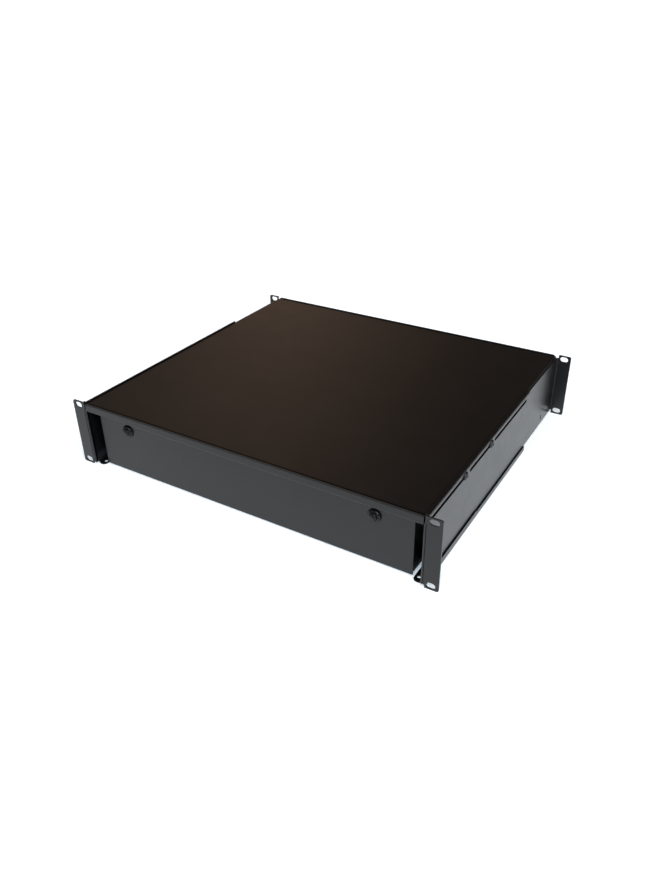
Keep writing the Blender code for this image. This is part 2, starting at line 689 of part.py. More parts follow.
def build_cable_anchor():
    """Bracket behind the splice trays with a toothed edge for cable ties."""
    foot_z = DRAWER_BOTTOM + SHEET + GAP + SHEET / 2
    route = [(336.0, foot_z), (350.0, foot_z), (350.0, 24.0)]
    anchor = folded_sheet("cable_anchor", route, "X", -170.0, 170.0, ZINC_STEEL)
    pitch = 20.0
    notches = 17
    for number in range(notches):
        x = (number - (notches - 1) / 2) * pitch
        subtract(anchor, box(f"anchor_notch_{number}", (x - 3, 345, 18), (x + 3, 355, 30)))


def build_ground_stud():
    """Brass earth stud through the rear wall, with its nut."""
    z = 20.0
    inner = REAR_WALL_Y - SHEET / 2
    stud = [(0.0, 19.0), (2.6, 19.0), (3.0, 18.6), (3.0, 0.0), (5.5, 0.0), (5.5, -4.0), (0.0, -4.0)]
    turned("ground_stud", stud, BRASS, (0.0, inner - GAP, z), (0, 1, 0))
    nut_back = REAR_WALL_Y + SHEET / 2 + GAP
    nut = cylinder("ground_nut", (0.0, nut_back + 2.5, z), 5.8, 5.0, "Y", BRASS, steps=6)
    subtract(nut, cylinder("ground_nut_bore", (0.0, nut_back + 2.5, z), 3.35, 9.0, "Y"))
    subtract(bpy.data.objects["drawer_tray"], cylinder("ground_hole", (0.0, REAR_WALL_Y, z), 3.35, 6.0, "Y"))


# ---------------------------------------------------------------- door and latches

def build_door():
    """Drop-down front with a stiffening lip on top and a pivot tab at each end."""
    hinge = (0.0, PIVOT_Y, PIVOT_Z)
    face = DOOR_FACE_Y + SHEET / 2
    top = DOOR_TOP - SHEET / 2
    route = [(16.6, top), (face, top), (face, DRAWER_BOTTOM)]
    door = folded_sheet("door", route, "X", -DRAWER_HALF, DRAWER_HALF, POWDER_BLACK, bend=1.5, origin=hinge)
    for side, sign in SIDES:
        x = sorted((sign * TAB_INNER_X, sign * (TAB_INNER_X + SHEET)))
        tab = rounded_box(f"pivot_tab_{side}", (x[0], face, 3.4), (x[1], 18.6, 10.6), 2.4, "X")
        unite(door, tab)
        pivot = (sign * 206.5, PIVOT_Y, PIVOT_Z)
        subtract(door, cylinder(f"tab_hole_{side}", pivot, PIVOT_RADIUS + 0.1, 5.0, "X"))
        latch = (sign * LATCH_X, face, LATCH_Z)
        subtract(door, cylinder(f"latch_hole_{side}", latch, 3.85, 6.0, "Y"))


def build_door_pivots(side, sign):
    """Pin with its head inside the door's tab, flush with the outside of the drawer's wall."""
    inner = TAB_INNER_X - GAP
    length = DRAWER_HALF - inner
    profile = [
        (0.0, length), (PIVOT_RADIUS, length), (PIVOT_RADIUS, 0.0),
        (3.0, 0.0), (3.0, -0.6), (2.4, -1.1), (0.0, -1.1),
    ]
    origin = (sign * inner, PIVOT_Y, PIVOT_Z)
    turned(f"door_pivot_{side}", profile, SCREW_BLACK, origin, (sign, 0, 0))


def build_latch(side, sign):
    """Push-pull latch: a collared sleeve in the door and a domed plunger through it."""
    place = (sign * LATCH_X, DOOR_FACE_Y - GAP, LATCH_Z)
    seat = 1.9
    sleeve = [
        (7.8, 0.5), (7.8, 0.0), (3.5, 0.0), (3.5, -LATCH_SLEEVE_LENGTH), (2.6, -LATCH_SLEEVE_LENGTH),
        (2.6, seat), (4.5, seat), (4.6, 3.1), (5.0, 3.3), (5.8, 2.9), (6.6, 2.3), (7.3, 1.5),
    ]
    turned(f"latch_sleeve_{side}", sleeve, KNOB_BLACK, place, (0, -1, 0))
    knob_back = seat + GAP
    knob_front = 5.4
    radius = 4.2
    crown = 2.3
    arc_steps = 5
    profile = [(0.0, knob_front)]
    for step in range(1, arc_steps + 1):
        angle = step / arc_steps * math.pi / 2
        profile.append((radius * math.sin(angle), knob_front - crown * (1 - math.cos(angle))))
    stem_end = 0.7 - LATCH_SLEEVE_LENGTH
    profile += [
        (radius - 0.4, knob_back),
        (LATCH_STEM_RADIUS, knob_back), (LATCH_STEM_RADIUS, stem_end), (0.0, stem_end),
    ]
    turned(f"latch_plunger_{side}", profile, KNOB_BLACK, place, (0, -1, 0))


def build():
    build_housing_cover()
    build_cross_rails()
    build_base_pan()
    build_drawer_tray()
    build_cable_trims()
    build_adapter_panel()
    build_adapters()
    build_spools()
    build_splice_trays()
    build_cable_anchor()
    build_ground_stud()
    build_door()
    for side, sign in SIDES:
        build_front_bracket(side, sign)
        build_rear_bracket(side, sign)
        build_depth_screws(side, sign)
        build_slides(side, sign)
        build_door_pivots(side, sign)
        build_latch(side, sign)


build()
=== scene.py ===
"""Studio scene of a rack-mount fibre termination box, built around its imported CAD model.

The object stands on a pale floor with -Y to its front, +X to its right and +Z up, in metres.
"""

import json
import math

import bmesh
import bpy
from mathutils import Matrix, Vector


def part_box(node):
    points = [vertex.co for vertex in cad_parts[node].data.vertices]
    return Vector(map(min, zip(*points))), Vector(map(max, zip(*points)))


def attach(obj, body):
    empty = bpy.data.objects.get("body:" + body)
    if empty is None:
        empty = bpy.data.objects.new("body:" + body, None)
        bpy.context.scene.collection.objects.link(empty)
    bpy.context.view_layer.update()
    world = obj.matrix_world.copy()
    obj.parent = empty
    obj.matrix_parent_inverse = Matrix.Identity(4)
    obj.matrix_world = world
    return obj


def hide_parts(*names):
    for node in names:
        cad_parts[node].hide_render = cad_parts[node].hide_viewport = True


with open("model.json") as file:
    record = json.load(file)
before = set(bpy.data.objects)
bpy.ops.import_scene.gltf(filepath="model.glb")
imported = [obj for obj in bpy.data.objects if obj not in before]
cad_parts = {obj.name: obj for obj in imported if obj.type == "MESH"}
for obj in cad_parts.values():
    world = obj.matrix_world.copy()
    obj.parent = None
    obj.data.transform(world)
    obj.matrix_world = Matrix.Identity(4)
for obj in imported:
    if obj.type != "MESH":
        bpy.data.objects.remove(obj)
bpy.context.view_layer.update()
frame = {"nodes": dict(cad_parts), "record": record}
nodes = frame["nodes"]

MM = 0.001
SHARP_ANGLE = 38.0

SIDES = (("left", -1), ("right", 1))
SHEET_THICKNESS = 1.5 * MM

# Floor and backdrop, in metres.
FLOOR_RADIUS = 30.0
FLOOR_STEPS = 64
FLOOR_GREY = 0.86
FLOOR_GLOW = (0.75, 0.92, 1.07)
FLOOR_GLOW_STRENGTH = 0.40
BACKDROP_HEIGHT = 40.0
BACKDROP_GLOW_STRENGTH = 1.1

# Camera, in degrees and millimetres; its lens and sensor in millimetres too.
CAMERA_AZIMUTH = 31.17
CAMERA_ELEVATION = 30.60
CAMERA_ROLL = -0.614
CAMERA_DISTANCE = 997.5
CAMERA_TARGET = (1.4, -0.75, 2.06)
CAMERA_LENS = 31.42
CAMERA_SENSOR = 36.0

# Radiance of the room by the sideways part of the direction: a warm wall to the rear left.
ROOM = [
    (-0.85, (0.060, 0.046, 0.036)),
    (-0.66, (0.200, 0.138, 0.098)),
    (-0.54, (0.520, 0.345, 0.240)),
    (-0.44, (0.260, 0.172, 0.120)),
    (-0.30, (0.074, 0.050, 0.036)),
    (0.10, (0.084, 0.058, 0.040)),
]


# ---------------------------------------------------------------- node helpers

def new_material(name):
    material = bpy.data.materials.new(name)
    material.use_nodes = True
    tree = material.node_tree
    return material, tree, tree.nodes["Principled BSDF"]


def add(tree, kind, **settings):
    node = tree.nodes.new(kind)
    for key, value in settings.items():
        setattr(node, key, value)
    return node


def object_space(tree, scale):
    """Object coordinates times a scale for each axis."""
    place = add(tree, "ShaderNodeTexCoord")
    mapping = add(tree, "ShaderNodeMapping")
    mapping.inputs["Scale"].default_value = scale
    tree.links.new(place.outputs["Object"], mapping.inputs["Vector"])
    return mapping.outputs["Vector"]


def noise(tree, vector, scale, detail=3.0, roughness=0.5):
    node = add(tree, "ShaderNodeTexNoise")
    node.inputs["Scale"].default_value = scale
    node.inputs["Detail"].default_value = detail
    node.inputs["Roughness"].default_value = roughness
    tree.links.new(vector, node.inputs["Vector"])
    return node.outputs["Fac"]


def spread(tree, value, low, high, low_out, high_out):
    """Map a value from one range to another, held at the ends."""
    node = add(tree, "ShaderNodeMapRange", clamp=True)
    for name, number in (("From Min", low), ("From Max", high), ("To Min", low_out), ("To Max", high_out)):
        node.inputs[name].default_value = number
    tree.links.new(value, node.inputs["Value"])
    return node.outputs["Result"]


def ramp(tree, value, stops):
    node = add(tree, "ShaderNodeValToRGB")
    elements = node.color_ramp.elements
    while len(elements) < len(stops):
        elements.new(0.5)
    for element, (position, colour) in zip(elements, stops):
        element.position = position
        element.color = (*colour, 1.0)
    tree.links.new(value, node.inputs["Fac"])
    return node.outputs["Color"]


def bump(tree, shader, height, strength, distance, after=None):
    node = add(tree, "ShaderNodeBump")
    node.inputs["Strength"].default_value = strength
    node.inputs["Distance"].default_value = distance
    tree.links.new(height, node.inputs["Height"])
    if after:
        tree.links.new(after, node.inputs["Normal"])
    tree.links.new(node.outputs["Normal"], shader.inputs["Normal"])
    return node.outputs["Normal"]


# ---------------------------------------------------------------- materials

def powder_coat():
    """Black powder coat: fine orange-peel grain, soft mottling, faint dust and polished patches."""
    material, tree, shader = new_material("powder_coat_black")
    space = object_space(tree, (1.0, 1.0, 1.0))
    mottle = noise(tree, space, 14.0, 4.0, 0.6)
    colour = ramp(tree, mottle, [(0.3, (0.0024, 0.0027, 0.0032)), (0.7, (0.0038, 0.0042, 0.0048))])
    tree.links.new(colour, shader.inputs["Base Color"])
    smudge = noise(tree, space, 38.0, 5.0, 0.65)
    tree.links.new(spread(tree, smudge, 0.3, 0.7, 0.28, 0.33), shader.inputs["Roughness"])
    shader.inputs["Specular IOR Level"].default_value = 0.42
    peel = noise(tree, space, 1500.0, 2.0, 0.5)
    first = bump(tree, shader, peel, 0.22, 0.00012)
    wave = noise(tree, space, 220.0, 2.0, 0.5)
    bump(tree, shader, wave, 0.10, 0.0003, first)
    return material


def plated_steel():
    """Zinc plate with a drawn grain along the slides and cloudy passivation."""
    material, tree, shader = new_material("zinc_plate")
    shader.inputs["Metallic"].default_value = 1.0
    streak = noise(tree, object_space(tree, (900.0, 12.0, 900.0)), 1.0, 3.0)
    cloud = noise(tree, object_space(tree, (1.0, 1.0, 1.0)), 60.0, 4.0, 0.6)
    colour = ramp(tree, cloud, [(0.3, (0.44, 0.44, 0.43)), (0.7, (0.60, 0.60, 0.58))])
    tree.links.new(colour, shader.inputs["Base Color"])
    tree.links.new(spread(tree, streak, 0.3, 0.7, 0.26, 0.42), shader.inputs["Roughness"])
    bump(tree, shader, streak, 0.12, 0.0001)
    return material


def black_oxide():
    """Blackened screw steel, worn brighter in places."""
    material, tree, shader = new_material("black_oxide")
    shader.inputs["Metallic"].default_value = 0.75
    space = object_space(tree, (1.0, 1.0, 1.0))
    wear = noise(tree, space, 420.0, 4.0, 0.6)
    colour = ramp(tree, wear, [(0.45, (0.030, 0.031, 0.033)), (0.72, (0.11, 0.11, 0.11))])
    tree.links.new(colour, shader.inputs["Base Color"])
    tree.links.new(spread(tree, wear, 0.35, 0.7, 0.36, 0.24), shader.inputs["Roughness"])
    bump(tree, shader, wear, 0.12, 0.0001)
    return material


def knob_plastic():
    """Glossy black nylon with faint moulding waves."""
    material, tree, shader = new_material("knob_plastic")
    space = object_space(tree, (1.0, 1.0, 1.0))
    tone = noise(tree, space, 160.0, 3.0)
    colour = ramp(tree, tone, [(0.3, (0.005, 0.0055, 0.006)), (0.7, (0.009, 0.010, 0.011))])
    tree.links.new(colour, shader.inputs["Base Color"])
    tree.links.new(spread(tree, tone, 0.3, 0.7, 0.14, 0.24), shader.inputs["Roughness"])
    shader.inputs["Specular IOR Level"].default_value = 0.2
    bump(tree, shader, noise(tree, space, 500.0, 2.0), 0.05, 0.0001)
    return material


def moulded_plastic(name, dark, light, rough_low, rough_high):
    """Moulded plastic with a fine satin texture."""
    material, tree, shader = new_material(name)
    space = object_space(tree, (1.0, 1.0, 1.0))
    tone = noise(tree, space, 55.0, 4.0, 0.6)
    tree.links.new(ramp(tree, tone, [(0.3, dark), (0.7, light)]), shader.inputs["Base Color"])
    tree.links.new(spread(tree, tone, 0.3, 0.7, rough_low, rough_high), shader.inputs["Roughness"])
    bump(tree, shader, noise(tree, space, 2200.0, 2.0), 0.12, 0.0001)
    return material


def clear_plastic():
    """Clear lid with light scuffs."""
    material, tree, shader = new_material("clear_polycarbonate")
    space = object_space(tree, (1.0, 1.0, 1.0))
    scuff = noise(tree, space, 120.0, 5.0, 0.7)
    shader.inputs["Base Color"].default_value = (0.80, 0.84, 0.86, 1.0)
    shader.inputs["Alpha"].default_value = 0.32
    tree.links.new(spread(tree, scuff, 0.4, 0.75, 0.06, 0.22), shader.inputs["Roughness"])
    bump(tree, shader, scuff, 0.03, 0.0001)
    return material


def rubber():
    """Dull black edging with a fine skin."""
    material, tree, shader = new_material("edging_rubber")
    space = object_space(tree, (1.0, 1.0, 1.0))
    skin = noise(tree, space, 900.0, 3.0)
    colour = ramp(tree, skin, [(0.3, (0.010, 0.010, 0.010)), (0.7, (0.020, 0.020, 0.020))])
    tree.links.new(colour, shader.inputs["Base Color"])
    tree.links.new(spread(tree, skin, 0.3, 0.7, 0.62, 0.80), shader.inputs["Roughness"])
    bump(tree, shader, skin, 0.2, 0.0001)
    return material


def brass():
    """Turned brass, slightly dulled."""
    material, tree, shader = new_material("turned_brass")
    shader.inputs["Metallic"].default_value = 1.0
    space = object_space(tree, (1.0, 1.0, 1.0))
    tarnish = noise(tree, space, 260.0, 4.0, 0.6)
    colour = ramp(tree, tarnish, [(0.3, (0.50, 0.34, 0.13)), (0.7, (0.70, 0.51, 0.22))])
    tree.links.new(colour, shader.inputs["Base Color"])
    tree.links.new(spread(tree, tarnish, 0.3, 0.7, 0.36, 0.24), shader.inputs["Roughness"])
    bump(tree, shader, noise(tree, object_space(tree, (200.0, 4000.0, 200.0)), 1.0), 0.08, 0.0001)
    return material


MATERIALS = {
    "powder_black": powder_coat(),
    "zinc_steel": plated_steel(),
    "screw_black": black_oxide(),
    "knob_black": knob_plastic(),
    "adapter_blue": moulded_plastic("adapter_plastic", (0.012, 0.085, 0.33), (0.018, 0.12, 0.42), 0.32, 0.44),
    "tray_plastic": moulded_plastic("tray_plastic", (0.50, 0.51, 0.50), (0.60, 0.61, 0.60), 0.40, 0.52),
    "lid_clear": clear_plastic(),
    "rubber_black": rubber(),
    "brass": brass(),
}


def dress_cad_nodes():
    """Give every CAD node the finish of its slot in the record."""
    for part in frame["record"]["subparts"]:
        node = nodes[part["node"]]
        for slot in node.material_slots:
            slot.material = MATERIALS[part["material_slot"]]


# ---------------------------------------------------------------- mesh helpers

RECESS_DEPTH = 0.45
BLOCK_PROFILE = 0.6


def node_box(name):
    """Lowest and highest corners of a CAD node at rest."""
    low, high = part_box(name)
    return Vector(low), Vector(high)


def in_metres(points):
    """Points given in millimetres."""
    return [tuple(value * MM for value in point) for point in points]


def new_piece(name, bm, body, slot):
    """Turn a bmesh into a piece with the slot's finish that rides on a body."""
    bmesh.ops.recalc_face_normals(bm, faces=bm.faces)
    mesh = bpy.data.meshes.new(name)
    bm.to_mesh(mesh)
    bm.free()
    for polygon in mesh.polygons:
        polygon.use_smooth = True
    mesh.set_sharp_from_angle(angle=math.radians(SHARP_ANGLE))
    mesh.materials.append(MATERIALS[slot])
    item = bpy.data.objects.new(name, mesh)
    bpy.context.scene.collection.objects.link(item)
    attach(item, body)
    return item


def add_block(bm, low, high, bevel, segments=2, matrix=None):
    """Block between two corners, in metres, with rounded edges, and moved by a matrix if one is given."""
    block = bmesh.new()
    bmesh.ops.create_cube(block, size=1.0)
    low = Vector(low)
    size = Vector(high) - low
    bmesh.ops.scale(block, vec=size, verts=block.verts)
    bmesh.ops.translate(block, vec=low + size / 2, verts=block.verts)
    bmesh.ops.bevel(
        block,
        geom=block.edges,
        offset=bevel,
        segments=segments,
        profile=BLOCK_PROFILE,
        affect="EDGES",
        clamp_overlap=True,
    )
    if matrix:
        bmesh.ops.transform(block, matrix=matrix, verts=block.verts)
    mesh = bpy.data.meshes.new("block")
    block.to_mesh(mesh)
    block.free()
    bm.from_mesh(mesh)
    bpy.data.meshes.remove(mesh)


def add_turned(bm, centre, direction, profile, steps=24, closed=False, recess=()):
    """Solid of revolution from (radius, height) points; rings listed in recess are cross-shaped."""
    turn = Vector(direction).to_track_quat("Z", "Y").to_matrix()
    centre = Vector(centre)
    rings = []
    for number, (radius, height) in enumerate(profile):
        if radius == 0.0:
            rings.append([bm.verts.new(centre + turn @ Vector((0, 0, height)))])
            continue
        ring = []
        for step in range(steps):
            reach = radius
            if number in recess and step % (steps // 4) > 1:
                reach = radius * RECESS_DEPTH
            angle = 2 * math.pi * step / steps
            point = Vector((reach * math.cos(angle), reach * math.sin(angle), height))
            ring.append(bm.verts.new(centre + turn @ point))
        rings.append(ring)
    pairs = list(zip(rings, rings[1:]))
    if closed:
        pairs.append((rings[-1], rings[0]))
    for first, second in pairs:
        for step in range(steps):
            after = (step + 1) % steps
            if len(first) == 1:
                bm.faces.new((first[0], second[step], second[after]))
            elif len(second) == 1:
                bm.faces.new((first[step], first[after], second[0]))
            else:
                bm.faces.new((first[step], first[after], second[after], second[step]))


# Pan head from its recess outwards, as shares of the head's radius and height.
SCREW_HEAD = [
    (0.0, 0.35), (0.50, 0.45), (0.56, 1.0), (0.62, 1.0), (0.84, 0.86),
    (0.97, 0.5), (1.0, 0.2), (1.0, 0.0), (0.0, 0.0),
]
SCREW_RECESS_RINGS = (1, 2)


def add_screw_head(bm, seat, direction, radius, height):
    """Low pan head with a cross recess, standing on the point where it is seated."""
    profile = [(across * radius, up * height) for across, up in SCREW_HEAD]
    add_turned(bm, seat, direction, profile, recess=SCREW_RECESS_RINGS)


# ---------------------------------------------------------------- fittings

# Duplex couplers: two ports, a flange with two screws, and a clip behind the panel.
ADAPTER_COUNT = 12
PORT_OFFSET = 6.4 * MM
FLANGE_SCREW_OFFSET = 15.2 * MM
FLANGE_FACE = 11.45 * MM
FLANGE_SCREW = (1.7 * MM, 1.1 * MM)
PANEL_BACK = 1.8 * MM
CLIP_HALF_WIDTH = 13.0 * MM
CLIP_HALF_HEIGHT = 4.7 * MM
CLIP_BAND = 0.45 * MM
CLIP_DEPTH = 3.2 * MM
CLIP_LEAF_LENGTH = 2.6 * MM
CLIP_LEAF_HALF_HEIGHT = 2.2 * MM
CLIP_EDGE = 0.1 * MM

# Dust cap's flange, grip and three ribs, in millimetres from the coupler's end outwards:
# start, end, half width, half height, edge radius and edge segments.
CAP_PARTS = (
    (0.1, 1.3, 5.3, 4.3, 0.4, 2),
    (1.2, 6.6, 3.6, 3.0, 0.9, 3),
    (2.3, 2.9, 4.0, 2.4, 0.2, 2),
    (3.6, 4.2, 4.0, 2.4, 0.2, 2),
    (4.9, 5.5, 4.0, 2.4, 0.2, 2),
)


def build_adapter_fittings():
    """Dust caps in both ends of each coupler, flange screws, and a spring clip behind the panel."""
    screws = bmesh.new()
    clips = bmesh.new()
    panel_back = node_box("adapter_panel")[0].y + PANEL_BACK
    for number in range(1, ADAPTER_COUNT + 1):
        low, high = node_box(f"adapter_{number:02d}")
        middle = (low + high) / 2
        caps = bmesh.new()
        for port in (-1, 1):
            x = middle.x + port * PORT_OFFSET
            for face, outward in ((low.y, -1), (high.y, 1)):
                add_cap(caps, x, face, middle.z, outward)
            seat = (middle.x + port * FLANGE_SCREW_OFFSET, low.y + FLANGE_FACE, middle.z)
            add_screw_head(screws, seat, (0, -1, 0), *FLANGE_SCREW)
        new_piece(f"dust_caps_{number:02d}", caps, "drawer", "tray_plastic")
        add_clip(clips, middle, panel_back)
    new_piece("flange_screws", screws, "drawer", "zinc_steel")
    new_piece("adapter_clips", clips, "drawer", "zinc_steel")


def add_cap(bm, x, face, z, outward):
    """Cap with a flange against the coupler's end and a ribbed grip."""
    for start, end, half_width, half_height, edge, segments in CAP_PARTS:
        near, far = sorted((face + outward * start * MM, face + outward * end * MM))
        low = (x - half_width * MM, near, z - half_height * MM)
        high = (x + half_width * MM, far, z + half_height * MM)
        add_block(bm, low, high, edge * MM, segments)


def add_clip(bm, middle, y):
    """Thin band round the coupler, with a leaf on each side that grips the panel."""
    left = middle.x - CLIP_HALF_WIDTH
    right = middle.x + CLIP_HALF_WIDTH
    bottom = middle.z - CLIP_HALF_HEIGHT
    top = middle.z + CLIP_HALF_HEIGHT
    for side in (-1, 1):
        edge = middle.z + side * CLIP_HALF_HEIGHT
        z = sorted((edge, edge + side * CLIP_BAND))
        add_block(bm, (left, y, z[0]), (right, y + CLIP_DEPTH, z[1]), CLIP_EDGE)
        edge = middle.x + side * CLIP_HALF_WIDTH
        x = sorted((edge, edge + side * CLIP_BAND))
        add_block(bm, (x[0], y, bottom), (x[1], y + CLIP_DEPTH, top), CLIP_EDGE)
        x = sorted((edge, edge + side * CLIP_LEAF_LENGTH))
        leaf_low = (x[0], y, middle.z - CLIP_LEAF_HALF_HEIGHT)
        leaf_high = (x[1], y + CLIP_BAND, middle.z + CLIP_LEAF_HALF_HEIGHT)
        add_block(bm, leaf_low, leaf_high, CLIP_EDGE)


# Blank write-on strips on the panel's front, and the frame round each.
LABEL_ROWS = (35.0 * MM, 60.2 * MM)
LABEL_HALF_LENGTH = 150.0 * MM
LABEL_HALF_HEIGHT = 2.6 * MM
LABEL_FRONT = 0.9 * MM
LABEL_EDGE = 0.15 * MM
HOLDER_FRONT = 1.5 * MM
HOLDER_BACK = 0.1 * MM
HOLDER_INNER = 2.7 * MM
HOLDER_OUTER = 3.7 * MM
HOLDER_END_GAP = 0.1 * MM
HOLDER_END_WIDTH = 1.6 * MM
HOLDER_OVERHANG = 1.5 * MM
HOLDER_EDGE = 0.2 * MM


def build_label_strips():
    """Blank write-on strips in shallow holders on the front of the adapter panel."""
    face = node_box("adapter_panel")[0].y
    back = face - HOLDER_BACK
    long = LABEL_HALF_LENGTH + HOLDER_OVERHANG
    strips = bmesh.new()
    holders = bmesh.new()
    for z in LABEL_ROWS:
        strip_low = (-LABEL_HALF_LENGTH, face - LABEL_FRONT, z - LABEL_HALF_HEIGHT)
        strip_high = (LABEL_HALF_LENGTH, back, z + LABEL_HALF_HEIGHT)
        add_block(strips, strip_low, strip_high, LABEL_EDGE)
        for side in (-1, 1):
            edge = sorted((z + side * HOLDER_INNER, z + side * HOLDER_OUTER))
            rail_low = (-long, face - HOLDER_FRONT, edge[0])
            rail_high = (long, back, edge[1])
            add_block(holders, rail_low, rail_high, HOLDER_EDGE)
            inner = side * (LABEL_HALF_LENGTH + HOLDER_END_GAP)
            outer = side * (LABEL_HALF_LENGTH + HOLDER_END_WIDTH)
            end = sorted((inner, outer))
            end_low = (end[0], face - HOLDER_FRONT, z - HOLDER_OUTER)
            end_high = (end[1], back, z + HOLDER_OUTER)
            add_block(holders, end_low, end_high, HOLDER_EDGE)
    new_piece("label_strips", strips, "drawer", "tray_plastic")
    new_piece("label_holders", holders, "drawer", "rubber_black")


# Fibre spools: fingers round the rim, and a spoked hub plate with a screw.
FINGER_COUNT = 6
FINGER_START = 30
FINGER_HALF_WIDTH = 4.0 * MM
FINGER_ROOT = 6.0 * MM
FINGER_TIP = 3.6 * MM
FINGER_THICKNESS = 2.3 * MM
FINGER_EDGE = 0.7 * MM
HOOK_ROOT = 2.0 * MM
HOOK_DEPTH = 6.0 * MM
HOOK_TOP = 1.0 * MM
HOOK_EDGE = 0.5 * MM
HUB_BORE = 26.7
HUB_PROFILE = ((2.4, 0.2), (HUB_BORE, 0.2), (HUB_BORE, 1.8), (9.0, 1.8), (7.6, 5.2), (2.4, 5.2))
HUB_STEPS = 36
HUB_TOP = 5.2 * MM
HUB_SCREW = (4.2 * MM, 2.2 * MM)
SPOKE_COUNT = 6
SPOKE_LOW = (8.0 * MM, -0.7 * MM, 1.6 * MM)
SPOKE_HIGH = ((HUB_BORE - 0.4) * MM, 0.7 * MM, 4.2 * MM)
SPOKE_EDGE = 0.3 * MM


def build_spool_fittings():
    """Fibre-keeping fingers round each reel's top and a screwed hub plate inside it."""
    for side, _ in SIDES:
        low, high = node_box(f"fiber_spool_{side}")
        centre = (low + high) / 2
        outer = (high.x - low.x) / 2
        base = Vector((centre.x, centre.y, low.z))
        rim = Matrix.Translation((centre.x, centre.y, high.z))
        tip = outer + FINGER_TIP
        fingers = bmesh.new()
        for step in range(FINGER_COUNT):
            angle = math.radians(FINGER_START + 360 / FINGER_COUNT * step)
            place = rim @ Matrix.Rotation(angle, 4, "Z")
            arm_low = (outer - FINGER_ROOT, -FINGER_HALF_WIDTH, -FINGER_THICKNESS)
            arm_high = (tip, FINGER_HALF_WIDTH, 0.0)
            add_block(fingers, arm_low, arm_high, FINGER_EDGE, matrix=place)
            hook_low = (outer + HOOK_ROOT, -FINGER_HALF_WIDTH, -HOOK_DEPTH)
            hook_high = (tip, FINGER_HALF_WIDTH, -HOOK_TOP)
            add_block(fingers, hook_low, hook_high, HOOK_EDGE, matrix=place)
        new_piece(f"spool_fingers_{side}", fingers, "drawer", "tray_plastic")
        hub = bmesh.new()
        add_turned(hub, base, (0, 0, 1), in_metres(HUB_PROFILE), steps=HUB_STEPS, closed=True)
        for step in range(SPOKE_COUNT):
            angle = math.radians(360 / SPOKE_COUNT * step)
            place = Matrix.Translation(base) @ Matrix.Rotation(angle, 4, "Z")
            add_block(hub, SPOKE_LOW, SPOKE_HIGH, SPOKE_EDGE, matrix=place)
        new_piece(f"spool_hub_{side}", hub, "drawer", "tray_plastic")
        screw = bmesh.new()
        add_screw_head(screw, base + Vector((0, 0, HUB_TOP)), (0, 0, 1), *HUB_SCREW)
        new_piece(f"spool_screw_{side}", screw, "drawer", "zinc_steel")


# Splice trays: winding drums on the floor, tabs under the rim, and clips on the lid.
TRAY_FLOOR = 1.7 * MM
TRAY_WALL = 1.5 * MM
DRUM_X = 46.0 * MM
DRUM_Y = 42.0 * MM
DRUM_PROFILE = ((21.0, 0.0), (22.4, 0.0), (22.4, 6.0), (21.0, 6.0))
DRUM_STEPS = 40
TAB_LONG_SIDE = (-60, -20, 20, 60)
TAB_SHORT_SIDE = (35, 85)
TAB_HALF_WIDTH = 4
TAB_REACH = 7.0 * MM
TAB_BOTTOM = 2.6 * MM
TAB_TOP = 1.4 * MM
TAB_EDGE = 0.3 * MM
LID_CLIP_X = (-45, 45)
LID_CLIP_HALF_WIDTH = 7
LID_CLIP_INWARD = 2.6 * MM
LID_CLIP_OUTWARD = 1.7 * MM
LID_CLIP_GAP = 0.3 * MM
LID_CLIP_BOTTOM = 0.1 * MM
LID_CLIP_TOP = 1.4 * MM
LID_CLIP_DROP = 8.0 * MM
LID_CLIP_HOOK_TOP = 0.8 * MM
LID_CLIP_EDGE = 0.4 * MM


